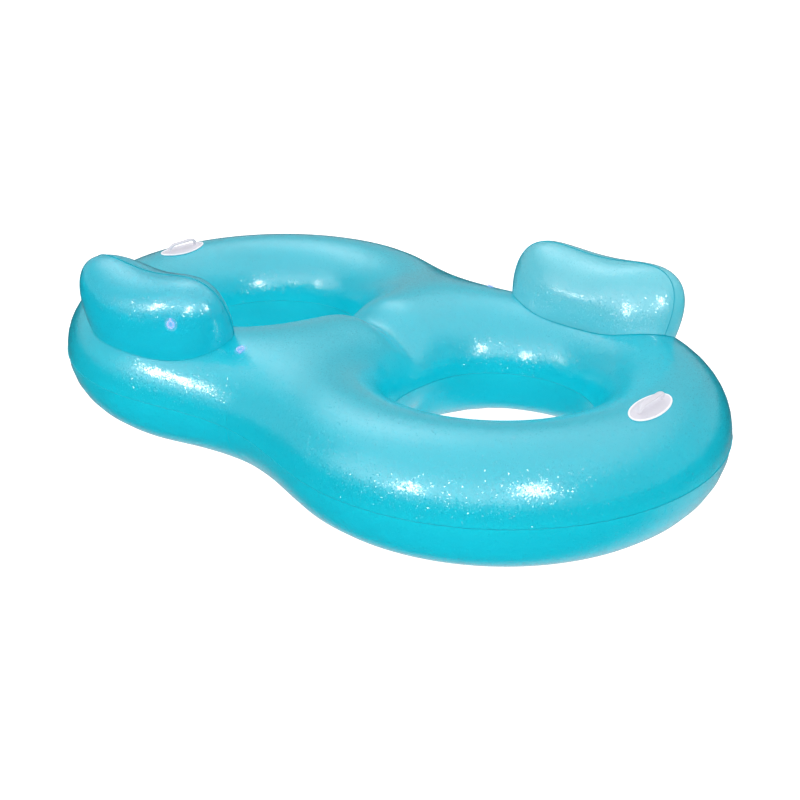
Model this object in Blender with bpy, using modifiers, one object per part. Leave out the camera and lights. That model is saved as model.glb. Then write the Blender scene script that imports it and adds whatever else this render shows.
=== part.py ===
"""Double swim ring: two inflated seats joined in a figure of eight, lying on the floor.

Metres, +Z up, X along the row of two rings. The origin is on the floor, midway between the rings.
The tube looks the same when it is turned half way round Z. Each seat's pieces are modelled as if on the
+X ring, at that seat's own place, and the left seat's stand under an empty turned by 180 degrees.
"""
import math

import bmesh
import bpy
from mathutils import Matrix, Vector

# The welded tube
RING_RADIUS = 0.355        # from a ring's middle to the middle of its tube; the rings share one bridge
TUBE_RADIUS = 0.135        # half the width and half the height of the inflated tube
BRIDGE_FILLET = 0.147      # how softly the two tubes run into each other over the bridge
WAIST_SPREAD = 0.65        # how much wider that blend grows towards the waist
GROOVE_DEPTH = 0.50        # share of the squared height lost where a wall inside draws the bridge in
GROOVE_WIDTH = 0.046       # half of that groove's width
FLOOR_BLEND = 0.004        # rounding between the tube and its flat underside
FILM = 0.0003              # vinyl film
GAP = 0.0003               # clearance between pieces that touch on the real float
TUBE_WELD = 0.0045         # width of the welded strip round the tube

# The backrest pillow, which follows the ring over its seat
RIGHT_BACKREST_ANGLE = math.radians(92.1)
LEFT_BACKREST_ANGLE = math.radians(96.1)
BACKREST_SHIFT = 0.017     # how far outside the tube's middle line it follows the ring
BACKREST_LENGTH = 0.412
BACKREST_THICKNESS = 0.190
BACKREST_TAPER = 0.22      # share of it lost at the ends
BACKREST_OVER = 0.009      # from the tube's top to the pillow's fattest level
BACKREST_RISE = 0.130      # from there to its top weld at its corners
BACKREST_SAG = 0.021       # how much lower its top weld is in the middle
BACKREST_UNDER = 0.051     # from the tube's top down to where the pillow starts to lean back
BACKREST_LEAN = 0.030      # how far back it leans for each metre up, in its middle
BACKREST_SPREAD = 0.2886   # how much more its ends do, so that its top runs straight
BACKREST_CORNER = 5.0      # power of its end curve: higher is squarer
BACKREST_CROWN = 2.2       # power of its top curve
BACKREST_WELD = 0.004
BACKREST_SEAT = 0.0009     # clearance between the pillow's lower welds and the tube

# The moulded grab handle on the outer end of the tube
RIGHT_HANDLE_SHIFT = 0.0245              # how far outside the tube's middle line it sits
LEFT_HANDLE_SHIFT = -0.0096
HANDLE_TURN = math.radians(3.5)          # how far it is turned off the tube's direction
PAD_LENGTH = 0.136
PAD_WIDTH = 0.054
PAD_THICKNESS = 0.0022
GRIP_SPAN = 0.084          # between the middles of its two feet
GRIP_RISE = 0.0125         # from the feet's pivot to the middle of the bar
GRIP_BAR = 0.0042          # radius of the bar
GRIP_BEND = 0.018          # how far in along the pad each leg arches

# The valve, set through the film and pushed in
VALVE_HOLE = 0.0092
FLANGE_RADIUS = 0.015
FLANGE_THICKNESS = 0.0008
CUP_WALL = 0.0008
CUP_DEPTH = 0.018
CUP_CLEARANCE = 0.0004     # film hole to cup
STEM_CLEARANCE = 0.0008    # cup to stem
STEM_WALL = 0.0018
STEM_LIP = 0.0022          # how far the stem's lip overhangs its tube
LIP_THICKNESS = 0.0008
LIP_LIFT = 0.0004          # lip above the flange when the stem is pushed in
HINGE_REACH = 0.014        # from the valve's axis to the cap's hinge
EAR_WIDTH = 0.005
CAP_RADIUS = 0.0088
CAP_THICKNESS = 0.0016
TAB_THICKNESS = 0.0008
PLUG_DEPTH = 0.005
PLUG_CLEARANCE = 0.0004
PLUG_TAPER = 0.0008
FLAP_OVERLAP = 0.0012      # how far the flap covers the stem's rim
FLAP_THICKNESS = 0.0006
MAIN_VALVE_ANGLE = math.radians(131.4)
MAIN_VALVE_SHIFT = 0.093             # how far outside the tube's middle line it sits
BACKREST_VALVE_SHARE = 0.544         # how far along the pillow's half length its valve sits
BACKREST_VALVE_OVER = 0.038          # over the pillow's fattest level

# Facets
ROWS = 9
BRIDGE_COLUMNS = 11
WAIST_COLUMNS = 6
END_COLUMNS = 14
PILLOW_COLUMNS = 18
PILLOW_ROWS = 7
TURNED_STEPS = 16

WELD_HALF = GAP / 2 + FILM           # from a weld's middle to the outer face of either film
WELD_HEIGHT = TUBE_RADIUS + WELD_HALF
TUBE_TOP = WELD_HEIGHT + WELD_HALF + TUBE_RADIUS
BACKREST_RADIUS = RING_RADIUS + BACKREST_SHIFT
BACKREST_MIDDLE = TUBE_TOP + BACKREST_OVER
BACKREST_FOOT = TUBE_TOP - BACKREST_UNDER
VINYL = (0.0, 0.52, 0.62)
CLEAR_VINYL = (0.75, 0.82, 0.90)
WHITE_VINYL = (0.78, 0.78, 0.84)


def merged(first, second, blend):
    """The larger of two values, rounded where they are closer than the blend."""
    overlap = max(0.0, 1.0 - abs(first - second) / blend)
    return max(first, second) + blend * overlap ** 3 / 6


def tube_swell(x, y):
    """Square of the film's height over the weld plane; it is negative outside the welds."""
    sides = [TUBE_RADIUS ** 2 - (math.hypot(x - centre, y) - RING_RADIUS) ** 2
             for centre in (-RING_RADIUS, RING_RADIUS)]
    swell = merged(sides[0], sides[1], BRIDGE_FILLET ** 2 + WAIST_SPREAD * y * y)
    if abs(x) < RING_RADIUS:
        swell *= 1.0 - GROOVE_DEPTH * math.exp(-(y / GROOVE_WIDTH) ** 2)
    return swell


def film_height(x, y, side):
    """Height of the tube's outer face, on top (side 1) or underneath (side -1)."""
    rise = math.sqrt(max(tube_swell(x, y), 0.0))
    if side < 0:
        rise = -merged(-rise, -TUBE_RADIUS, FLOOR_BLEND)
    return WELD_HEIGHT + side * (WELD_HALF + rise)


def tube_top(x, y):
    return Vector((x, y, film_height(x, y, 1)))


def bisect(low, high, inside):
    """The place between low, where inside() holds, and high, where it doesn't."""
    for _ in range(40):
        middle = (low + high) / 2
        if inside(middle):
            low = middle
        else:
            high = middle
    return low


def outward(x, y):
    """Unit direction in plan in which the tube's height falls."""
    step = 1e-5
    slope = Vector((tube_swell(x - step, y) - tube_swell(x + step, y),
                    tube_swell(x, y - step) - tube_swell(x, y + step), 0.0))
    return slope.normalized()


WAIST = bisect(0.0, 2 * RING_RADIUS, lambda y: tube_swell(0.0, y) > 0)
WAIST_ANGLE = math.atan2(WAIST, RING_RADIUS)


def film_column(angle, side):
    """Points across the -X ring's tube on one ray from its middle, from the hole outwards."""
    along, across = math.cos(angle), math.sin(angle)

    def at(radius):
        return -RING_RADIUS + radius * along, radius * across

    inner = bisect(RING_RADIUS, 0.0, lambda r: tube_swell(*at(r)) > 0)
    if angle < WAIST_ANGLE - 1e-6:
        outer = RING_RADIUS / along
    else:
        outer = bisect(RING_RADIUS, 3 * RING_RADIUS, lambda r: at(r)[0] < 0 and tube_swell(*at(r)) > 0)
    points = []
    for row in range(ROWS + 1):
        share = (1 - math.cos(math.pi * row / ROWS)) / 2
        x, y = at(inner + (outer - inner) * share)
        on_bridge = row == ROWS and angle < WAIST_ANGLE + 1e-6
        points.append(Vector((0.0 if on_bridge else x, y, film_height(x, y, side))))
    return points


def column_angles():
    """Angles of the columns on a quarter of the float, from the bridge to the outer end."""
    bridge = [WAIST_ANGLE * (1 - math.cos(math.pi * step / BRIDGE_COLUMNS)) / 2
              for step in range(BRIDGE_COLUMNS)]
    waist = [WAIST_ANGLE + (math.pi / 2 - WAIST_ANGLE) * step / WAIST_COLUMNS
             for step in range(WAIST_COLUMNS)]
    end = [math.pi / 2 + math.pi / 2 * step / END_COLUMNS for step in range(END_COLUMNS + 1)]
    return bridge + waist + end


def loft(mesh, rows):
    """Faces between neighbouring rows of points."""
    verts = [[mesh.verts.new(point) for point in row] for row in rows]
    for near, far in zip(verts, verts[1:]):
        for a, b, c, d in zip(near, near[1:], far[1:], far):
            mesh.faces.new((a, b, c, d))


def finish_mesh(mesh, name, towards):
    """Merge the lofts, turn the faces towards a direction given at each place, and make the object."""
    bmesh.ops.remove_doubles(mesh, verts=mesh.verts, dist=6e-5)
    bmesh.ops.dissolve_degenerate(mesh, edges=mesh.edges, dist=1e-7)
    bmesh.ops.recalc_face_normals(mesh, faces=mesh.faces)
    mesh.normal_update()
    agreement = sum(face.normal.dot(towards(face.calc_center_median())) * face.calc_area()
                    for face in mesh.faces)
    if agreement < 0:
        bmesh.ops.reverse_faces(mesh, faces=mesh.faces)
    data = bpy.data.meshes.new(name)
    mesh.to_mesh(data)
    mesh.free()
    data.shade_smooth()
    return bpy.data.objects.new(name, data)


def thicken(piece, thickness):
    wall = piece.modifiers.new("Wall", 'SOLIDIFY')
    wall.thickness = thickness
    wall.offset = -1.0


def add_piece(piece, colour, roughness, parent=None, frame=None):
    """Put a finished piece in the model, with its own material, under its parent."""
    material = bpy.data.materials.new(piece.name)
    material.use_nodes = True
    shader = material.node_tree.nodes["Principled BSDF"]
    shader.inputs["Base Color"].default_value = (*colour, 1.0)
    shader.inputs["Roughness"].default_value = roughness
    piece.data.materials.clear()
    piece.data.materials.append(material)
    if parent:
        piece.parent = parent
    if frame:
        piece.matrix_local = frame
    model.objects.link(piece)
    return piece


def add_axis(name, parent, frame):
    """An empty on a joint's axis."""
    empty = bpy.data.objects.new(name, None)
    empty.empty_display_size = 0.02
    empty.parent = parent
    empty.matrix_local = frame
    model.objects.link(empty)
    return empty


def cut(piece, cutter):
    """Cut a piece by a hidden object."""
    if cutter.name not in cutters.objects:
        cutters.objects.link(cutter)
        cutter.hide_render = True
        cutter.display_type = 'WIRE'
    opening = piece.modifiers.new("Opening", 'BOOLEAN')
    opening.operation = 'DIFFERENCE'
    opening.object = cutter


def turned(name, profile, closed):
    """A turned piece about Z; its profile of radius and height runs down the outer side."""
    mesh = bmesh.new()
    verts = [mesh.verts.new((radius, 0.0, height)) for radius, height in profile]
    for a, b in zip(verts, verts[1:]):
        mesh.edges.new((a, b))
    if closed:
        mesh.edges.new((verts[-1], verts[0]))
    data = bpy.data.meshes.new(name)
    mesh.to_mesh(data)
    mesh.free()
    piece = bpy.data.objects.new(name, data)
    screw = piece.modifiers.new("Turn", 'SCREW')
    screw.steps = TURNED_STEPS
    screw.render_steps = TURNED_STEPS
    screw.use_merge_vertices = True
    screw.merge_threshold = 1e-5
    return piece


def united(piece, low, high):
    """Join a small block, between two corners, to a piece."""
    mesh = bmesh.new()
    bmesh.ops.create_cube(mesh, size=1.0)
    size = Vector(high) - Vector(low)
    bmesh.ops.transform(mesh, matrix=Matrix.Translation((Vector(low) + Vector(high)) / 2)
                        @ Matrix.Diagonal((*size, 1.0)), verts=mesh.verts)
    block_data = bpy.data.meshes.new(piece.name + "_tab")
    mesh.to_mesh(block_data)
    mesh.free()
    block = bpy.data.objects.new(piece.name + "_tab", block_data)
    cutters.objects.link(block)
    block.hide_render = True
    block.display_type = 'WIRE'
    block.parent = piece
    join = piece.modifiers.new("Tab", 'BOOLEAN')
    join.operation = 'UNION'
    join.object = block


# Tube: a top and a bottom sheet, welded along the outline and round both holes

def tube_sheet(name, side):
    """One of the two sheets, as a mirrored quarter."""
    mesh = bmesh.new()
    columns = []
    rim = []
    for angle in column_angles():
        points = film_column(angle, side)
        hole_weld = points[0] + outward(points[0].x, points[0].y) * TUBE_WELD
        columns.append([hole_weld] + points)
        if angle > WAIST_ANGLE - 1e-6:
            rim.append([points[-1], points[-1] + outward(points[-1].x, points[-1].y) * TUBE_WELD])
    loft(mesh, columns)
    loft(mesh, rim)
    for vert in mesh.verts:
        for axis in (0, 1):
            if abs(vert.co[axis]) < 1e-5:
                vert.co[axis] = 0.0
    sheet = finish_mesh(mesh, name, lambda place: Vector((0, 0, side)))
    mirror = sheet.modifiers.new("Quarters", 'MIRROR')
    mirror.use_axis = (True, True, False)
    mirror.merge_threshold = 0.0001
    thicken(sheet, FILM)
    return sheet


def inset(outline, distance):
    """A closed outline moved inwards, for points that run round it clockwise or the other way."""
    area = sum(a.x * b.y - b.x * a.y for a, b in zip(outline, outline[1:] + outline[:1]))
    turn = 1 if area > 0 else -1
    moved = []
    for before, here, after in zip(outline[-1:] + outline[:-1], outline, outline[1:] + outline[:1]):
        first = (here - before).normalized()
        second = (after - here).normalized()
        inward = Vector((-first.y - second.y, first.x + second.x)).normalized() * turn
        square = Vector((-first.y, first.x)) * turn
        moved.append(here + inward * distance / max(inward.dot(square), 0.3))
    return moved


def baffle(name, angle, frame, mirrored):
    """A wall across the inside of the tube, which parts its two air chambers."""
    outline = []
    for side in (1, -1):
        points = film_column(angle, side)[1:]
        across = [Vector((math.hypot(p.x + RING_RADIUS, p.y) - RING_RADIUS, p.z)) for p in points]
        if mirrored:
            across += [Vector((-p.x, p.y)) for p in reversed(across[:-1])]
        else:
            across.pop()
        outline += across if side > 0 else list(reversed(across))
    curve = bpy.data.curves.new(name, 'CURVE')
    curve.dimensions = '2D'
    curve.fill_mode = 'BOTH'
    curve.extrude = FILM / 2
    spline = curve.splines.new('POLY')
    places = inset(outline, FILM + GAP)
    spline.points.add(len(places) - 1)
    for point, place in zip(spline.points, places):
        point.co = (place.x, place.y, 0.0, 1.0)
    spline.use_cyclic_u = True
    wall = bpy.data.objects.new(name, curve)
    add_piece(wall, VINYL, 0.35, None, frame)


# Backrest: a front and a rear sheet, welded along the top and both ends and down onto the tube

def pillow_place(middle, along, offset, height):
    """A point given along the pillow, off its middle and by height; middle is the angle of its own middle."""
    spread = BACKREST_SPREAD * (2 * along / BACKREST_LENGTH) ** 2
    lean = (BACKREST_LEAN + spread) * max(height - BACKREST_FOOT, 0.0)
    angle = middle + along / BACKREST_RADIUS
    radius = BACKREST_RADIUS + lean + offset
    return Vector((RING_RADIUS + radius * math.cos(angle), radius * math.sin(angle), height))


def pillow_rise(along):
    """How far the pillow's top weld would be over its fattest level if its ends were square."""
    return BACKREST_RISE - BACKREST_SAG * math.cos(math.pi * along / BACKREST_LENGTH) ** 2


def pillow_fill(along, height):
    """1 in the pillow's middle, 0 on its weld."""
    return (1.0 - abs(2 * along / BACKREST_LENGTH) ** BACKREST_CORNER
            - abs((height - BACKREST_MIDDLE) / pillow_rise(along)) ** BACKREST_CROWN)


def pillow_offset(along, height, side):
    """How far the rear (side 1) or front (side -1) face lies off the pillow's middle."""
    taper = 1.0 - BACKREST_TAPER * (2 * along / BACKREST_LENGTH) ** 2
    swell = BACKREST_THICKNESS / 2 * taper * math.sqrt(max(pillow_fill(along, height), 0.0))
    return side * (WELD_HALF + swell)


def on_tube(middle, along, offset, height):
    """A point of the pillow, moved up or down to where its film lies on the tube."""
    place = pillow_place(middle, along, offset, height)
    place.z = film_height(place.x, place.y, 1) + BACKREST_SEAT + FILM
    return place


def evenly(points, count):
    """Points at equal steps along a chain of points."""
    lengths = [0.0]
    for a, b in zip(points, points[1:]):
        lengths.append(lengths[-1] + (b - a).length)
    spaced = []
    place = 0
    for step in range(count + 1):
        target = lengths[-1] * step / count
        while place < len(points) - 2 and lengths[place + 1] < target:
            place += 1
        share = (target - lengths[place]) / (lengths[place + 1] - lengths[place])
        spaced.append(points[place].lerp(points[place + 1], share))
    return spaced


def pillow_weld(middle):
    """The weld line over the pillow as points of length and height, from one foot to the other."""
    def height(along, way):
        room = max(0.0, 1.0 - abs(2 * along / BACKREST_LENGTH) ** BACKREST_CORNER)
        return BACKREST_MIDDLE + way * pillow_rise(along) * room ** (1 / BACKREST_CROWN)

    half = BACKREST_LENGTH / 2
    foot = bisect(half, half / 2, lambda s: height(s, -1) > on_tube(middle, s, 0.0, height(s, -1)).z)
    samples = 400
    rising = [Vector((foot + (half - foot) * step / 20, 0.0)) for step in range(20)]
    for point in rising:
        point.y = height(point.x, -1)
    over = [half * math.cos(math.pi * step / samples) for step in range(samples + 1)]
    line = rising + [Vector((along, height(along, 1))) for along in over]
    line += [Vector((-point.x, point.y)) for point in reversed(rising)]
    return evenly(line, PILLOW_COLUMNS)


def pillow_sheet(name, side, middle):
    """The front (side -1) or rear (side 1) sheet of the pillow."""
    weld = pillow_weld(middle)
    foot = weld[0].x
    columns = []
    for step, top in enumerate(weld):
        along = foot * math.cos(math.pi * step / PILLOW_COLUMNS)

        def floats(height):
            return height > on_tube(middle, along, pillow_offset(along, height, side), height).z

        at_end = step in (0, PILLOW_COLUMNS)
        low = top.y if at_end else bisect(BACKREST_MIDDLE, BACKREST_MIDDLE - pillow_rise(along), floats)
        base = Vector((along, low))
        base_offset = pillow_offset(along, low, side)
        lip = base_offset + side * TUBE_WELD
        points = [on_tube(middle, along, lip, low), pillow_place(middle, along, base_offset, low)]
        for row in range(1, PILLOW_ROWS + 1):
            place = base.lerp(top, math.sin(math.pi / 2 * row / PILLOW_ROWS))
            offset = side * WELD_HALF if row == PILLOW_ROWS else pillow_offset(place.x, place.y, side)
            points.append(pillow_place(middle, place.x, offset, place.y))
        edge = Vector((pillow_fill(top.x - 1e-5, top.y) - pillow_fill(top.x + 1e-5, top.y),
                       pillow_fill(top.x, top.y - 1e-5) - pillow_fill(top.x, top.y + 1e-5))).normalized()
        rim = top + edge * BACKREST_WELD
        rim_height = max(rim.y, on_tube(middle, rim.x, side * WELD_HALF, rim.y).z)
        points.append(pillow_place(middle, rim.x, side * WELD_HALF, rim_height))
        columns.append(points)
    mesh = bmesh.new()
    loft(mesh, columns)
    inside = pillow_place(middle, 0.0, 0.0, BACKREST_MIDDLE)
    sheet = finish_mesh(mesh, name, lambda place: (place - inside))
    thicken(sheet, FILM)
    return sheet


# Frames on the film

def seat_frame(place, normal, hinge):
    """A frame with Z out of the film and X towards the cap's hinge."""
    out = normal.normalized()
    side = (hinge - out * hinge.dot(out)).normalized()
    frame = Matrix((side, out.cross(side), out)).transposed().to_4x4()
    frame.translation = place
    return frame


def surface_frame(surface, u, v, hinge, outside):
    """The frame on a surface given by a function of two values, turned to face outside."""
    step = 1e-4
    normal = (surface(u + step, v) - surface(u - step, v)).cross(surface(u, v + step) - surface(u, v - step))
    place = surface(u, v)
    if normal.dot(place - outside) < 0:
        normal.negate()
    return seat_frame(place, normal, hinge)


# Handle: a moulded grip on a pad that is welded to the tube

def handle_frame(shift, lift):
    """The handle's frame on the tube: X across the tube, Y along it, Z out of it."""
    x = 2 * RING_RADIUS + shift
    across = Vector((math.cos(HANDLE_TURN), math.sin(HANDLE_TURN), 0.0))
    frame = surface_frame(tube_top, x, 0.0, across, Vector((x, 0.0, 0.0)))
    return frame @ Matrix.Translation((0.0, 0.0, lift))


def handle_pad(name, parent, shift):
    """An oval plate bent over the tube."""
    frame = handle_frame(shift, 0.0)
    back = frame.inverted()
    mesh = bmesh.new()
    bmesh.ops.create_circle(mesh, cap_ends=True, cap_tris=True, segments=28, radius=1.0)
    bmesh.ops.subdivide_edges(mesh, edges=[e for e in mesh.edges if not e.is_boundary], cuts=2)
    oval = Matrix.Diagonal((PAD_WIDTH / 2, PAD_LENGTH / 2, 1.0, 1.0))
    bmesh.ops.transform(mesh, matrix=oval, verts=mesh.verts)
    for vert in mesh.verts:
        place = frame @ vert.co
        below = Vector((place.x, place.y, 0.0))
        seat = surface_frame(tube_top, place.x, place.y, Vector((1.0, 0.0, 0.0)), below)
        vert.co = back @ seat @ Vector((0.0, 0.0, GAP + PAD_THICKNESS))
    pad = finish_mesh(mesh, name, lambda place: Vector((0, 0, 1)))
    thicken(pad, PAD_THICKNESS)
    add_piece(pad, WHITE_VINYL, 0.45, parent, frame)


def handle_grip(name, parent, shift):
    """A bar bent into an arch, with round feet on its pivot line."""
    curve = bpy.data.curves.new(name, 'CURVE')
    curve.dimensions = '3D'
    curve.bevel_depth = GRIP_BAR
    curve.bevel_resolution = 2
    curve.use_fill_caps = True
    spline = curve.splines.new('POLY')
    half = GRIP_SPAN / 2
    path = []
    for step in range(5):
        turn = math.pi / 2 * (0.08 + 0.92 * step / 4)
        path.append((half, -GRIP_BAR * math.cos(turn), math.sin(turn)))
    for step in range(8):
        turn = math.pi / 2 * step / 7
        path.append((half - GRIP_BEND * (1 - math.cos(turn)), GRIP_RISE * math.sin(turn), 1.0))
    path += [(-y, z, thickness) for y, z, thickness in reversed(path)]
    spline.points.add(len(path) - 1)
    for point, (y, z, thickness) in zip(spline.points, path):
        point.co = (0.0, y, z, 1.0)
        point.radius = thickness
    grip = bpy.data.objects.new(name, curve)
    pivot = add_axis(name + "_axis", parent, handle_frame(shift, 2 * GAP + PAD_THICKNESS + GRIP_BAR))
    add_piece(grip, WHITE_VINYL, 0.45, pivot)


# Valve: a collar welded in the film, a stem that pushes in, its flap and its cap

def seat_lift(surface, u, v, frame):
    """How high the collar's flat flange has to sit to clear the film around it."""
    back = frame.inverted()
    highest = 0.0
    for step in range(24):
        turn = 2 * math.pi * step / 24
        reach = FLANGE_RADIUS
        place = back @ surface(u + reach * math.cos(turn), v + reach * math.sin(turn))
        highest = max(highest, place.z)
    return highest + GAP


def valve(name, parent, frame, lift):
    """The five pieces of one valve, and the cylinder that opens the film for it."""
    cup = VALVE_HOLE - CUP_CLEARANCE
    bore = cup - CUP_WALL
    stem = bore - STEM_CLEARANCE
    passage = stem - STEM_WALL
    flange_top = lift + FLANGE_THICKNESS
    lip_bottom = flange_top + LIP_LIFT
    rim = lip_bottom + LIP_THICKNESS
    stem_end = -CUP_DEPTH + GAP

    collar = turned(name + "_collar", [(bore, flange_top), (FLANGE_RADIUS, flange_top), (FLANGE_RADIUS, lift),
                                       (cup, lift), (cup, -CUP_DEPTH), (bore, -CUP_DEPTH)], True)
    add_piece(collar, CLEAR_VINYL, 0.2, parent, frame)

    lip = stem + STEM_LIP
    tube = turned(name + "_stem", [(passage, rim), (lip, rim), (lip, lip_bottom), (stem, lip_bottom),
                                   (stem, stem_end), (passage, stem_end)], True)
    united(tube, (stem, -EAR_WIDTH / 2, lip_bottom), (HINGE_REACH - 2 * GAP, EAR_WIDTH / 2, rim))
    add_piece(tube, CLEAR_VINYL, 0.2, parent, frame)

    hinge = add_axis(name + "_cap_axis", tube, Matrix.Translation((HINGE_REACH, 0.0, rim)))
    shut = GAP
    plug = passage - PLUG_CLEARANCE
    cap = turned(name + "_cap", [(0.0, shut + CAP_THICKNESS), (CAP_RADIUS, shut + CAP_THICKNESS),
                                 (CAP_RADIUS, shut), (plug, shut), (plug - PLUG_TAPER, shut - PLUG_DEPTH),
                                 (0.0, shut - PLUG_DEPTH)], False)
    united(cap, (plug, -EAR_WIDTH / 2, shut),
           (HINGE_REACH - LIP_THICKNESS, EAR_WIDTH / 2, shut + TAB_THICKNESS))
    add_piece(cap, CLEAR_VINYL, 0.2, hinge, Matrix.Translation((-HINGE_REACH, 0.0, 0.0)))

    flap_radius = passage + FLAP_OVERLAP
    pivot = Vector((flap_radius + GAP, 0.0, stem_end - GAP / 2))
    swing = add_axis(name + "_flap_axis", tube, Matrix.Translation(pivot))
    top = -GAP / 2
    flap = turned(name + "_flap", [(0.0, top), (flap_radius, top), (flap_radius, top - FLAP_THICKNESS),
                                   (0.0, top - FLAP_THICKNESS)], False)
    add_piece(flap, CLEAR_VINYL, 0.3, swing, Matrix.Translation((-flap_radius - GAP, 0.0, 0.0)))

    bpy.ops.mesh.primitive_cylinder_add(vertices=TURNED_STEPS, radius=VALVE_HOLE, depth=2 * CUP_DEPTH)
    cutter = bpy.context.object
    bpy.context.collection.objects.unlink(cutter)
    cutter.name = name + "_hole"
    cutter.parent = parent
    cutter.matrix_local = frame
    return cutter


def main():
    top_sheet = tube_sheet("float_top_sheet", 1)
    bottom_sheet = tube_sheet("float_bottom_sheet", -1)
    upright = Matrix.Rotation(math.pi / 2, 4, 'X')
    baffle("bridge_baffle", 0.0, upright, True)
    for name, turn, middle, shift in (("right", 0.0, RIGHT_BACKREST_ANGLE, RIGHT_HANDLE_SHIFT),
                                      ("left", math.pi, LEFT_BACKREST_ANGLE, LEFT_HANDLE_SHIFT)):
        seat = bpy.data.objects.new(name + "_seat", None)
        seat.rotation_euler.z = turn
        model.objects.link(seat)
        across = Matrix.Translation((math.cos(turn) * RING_RADIUS, math.sin(turn) * RING_RADIUS, 0.0))
        spoke = Matrix.Rotation(turn + math.pi / 2, 4, 'Z') @ Matrix.Translation((RING_RADIUS, 0.0, 0.0))
        baffle(name + "_end_baffle", math.pi / 2, across @ spoke @ upright, False)

        front = pillow_sheet(name + "_backrest_front", -1, middle)
        rear = pillow_sheet(name + "_backrest_rear", 1, middle)
        handle_pad(name + "_handle_pad", seat, shift)
        handle_grip(name + "_handle_grip", seat, shift)

        spoke_out = Vector((math.cos(MAIN_VALVE_ANGLE), math.sin(MAIN_VALVE_ANGLE), 0.0))
        place = Vector((RING_RADIUS, 0.0, 0.0)) + spoke_out * (RING_RADIUS + MAIN_VALVE_SHIFT)
        frame = surface_frame(tube_top, place.x, place.y, spoke_out, place)
        lift = seat_lift(tube_top, place.x, place.y, frame)
        cut(top_sheet, valve(name + "_tube_valve", seat, frame, lift))

        def pillow_rear(along, height, middle=middle):
            return pillow_place(middle, along, pillow_offset(along, height, 1), height)

        along = BACKREST_VALVE_SHARE * BACKREST_LENGTH / 2
        height = BACKREST_MIDDLE + BACKREST_VALVE_OVER
        inside = pillow_place(middle, along, 0.0, height)
        frame = surface_frame(pillow_rear, along, height, Vector((0.0, 0.0, 1.0)), inside)
        lift = seat_lift(pillow_rear, along, height, frame)
        cut(rear, valve(name + "_backrest_valve", seat, frame, lift))
        add_piece(front, VINYL, 0.3, seat)
        add_piece(rear, VINYL, 0.3, seat)
    add_piece(top_sheet, VINYL, 0.3)
    add_piece(bottom_sheet, VINYL, 0.3)


for old in list(bpy.data.objects):
    bpy.data.objects.remove(old, do_unlink=True)
model = bpy.data.collections.new("double_swim_ring")
cutters = bpy.data.collections.new("cutters")
for collection in (model, cutters):
    bpy.context.scene.collection.children.link(collection)
main()
bpy.context.view_layer.update()
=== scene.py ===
"""Double swim ring: the looks of an inflated two-seat float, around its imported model.

Metres, +Z up, X along the row of two rings, the floor at zero. What belongs to a seat is made as if it
were on the +X ring, at that seat's own place, and the left seat's is then turned half way round Z.
"""
import math

import bmesh
import bpy
from mathutils import Matrix, Quaternion, Vector, noise


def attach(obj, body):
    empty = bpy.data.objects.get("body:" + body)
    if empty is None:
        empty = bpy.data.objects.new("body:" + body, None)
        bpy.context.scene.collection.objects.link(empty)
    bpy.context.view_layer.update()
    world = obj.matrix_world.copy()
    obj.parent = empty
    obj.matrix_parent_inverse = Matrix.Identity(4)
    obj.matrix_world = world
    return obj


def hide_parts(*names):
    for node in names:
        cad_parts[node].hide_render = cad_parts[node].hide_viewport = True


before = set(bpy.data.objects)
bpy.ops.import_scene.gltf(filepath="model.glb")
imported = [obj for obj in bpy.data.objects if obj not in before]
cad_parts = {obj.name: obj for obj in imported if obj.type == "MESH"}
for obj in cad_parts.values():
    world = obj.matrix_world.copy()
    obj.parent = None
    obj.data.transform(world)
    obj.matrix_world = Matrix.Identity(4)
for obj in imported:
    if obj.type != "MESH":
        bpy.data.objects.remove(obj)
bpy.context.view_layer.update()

# View. A camera a little over the eyes of someone who sits, looking down at the float's long side. It is
# placed by its direction and distance from a point near the float's middle.
CAMERA_AZIMUTH = math.radians(43.98)     # from the front (-Y) towards +X
CAMERA_HEIGHT = math.radians(24.10)
CAMERA_DISTANCE = 2.709
CAMERA_ROLL = math.radians(-0.24)
CAMERA_TARGET = Vector((0.1865, -0.1089, 0.15))
CAMERA_LENS = 57.13


def towards(azimuth, height):
    """Unit direction at an angle from the front, towards +X, and at an angle over the floor."""
    beside = Vector((math.sin(azimuth), -math.cos(azimuth), 0.0))
    return beside * math.cos(height) + Vector((0.0, 0.0, math.sin(height)))


back = towards(CAMERA_AZIMUTH, CAMERA_HEIGHT)
bpy.ops.object.camera_add(location=CAMERA_TARGET + back * CAMERA_DISTANCE)
camera = bpy.context.object
camera.rotation_mode = 'QUATERNION'
camera.rotation_quaternion = back.to_track_quat('Z', 'Y') @ Quaternion((0.0, 0.0, 1.0), CAMERA_ROLL)
camera.data.sensor_width = 36.0
camera.data.lens = CAMERA_LENS
camera.data.clip_end = 200.0
bpy.context.scene.camera = camera
bpy.context.scene.view_settings.view_transform = 'Standard'


# Floor. A wide, plain sweep of pale studio paper, softly lit from behind like a light table.
# The two classes turn plain sums into shader nodes, here and in every finish below.

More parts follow.
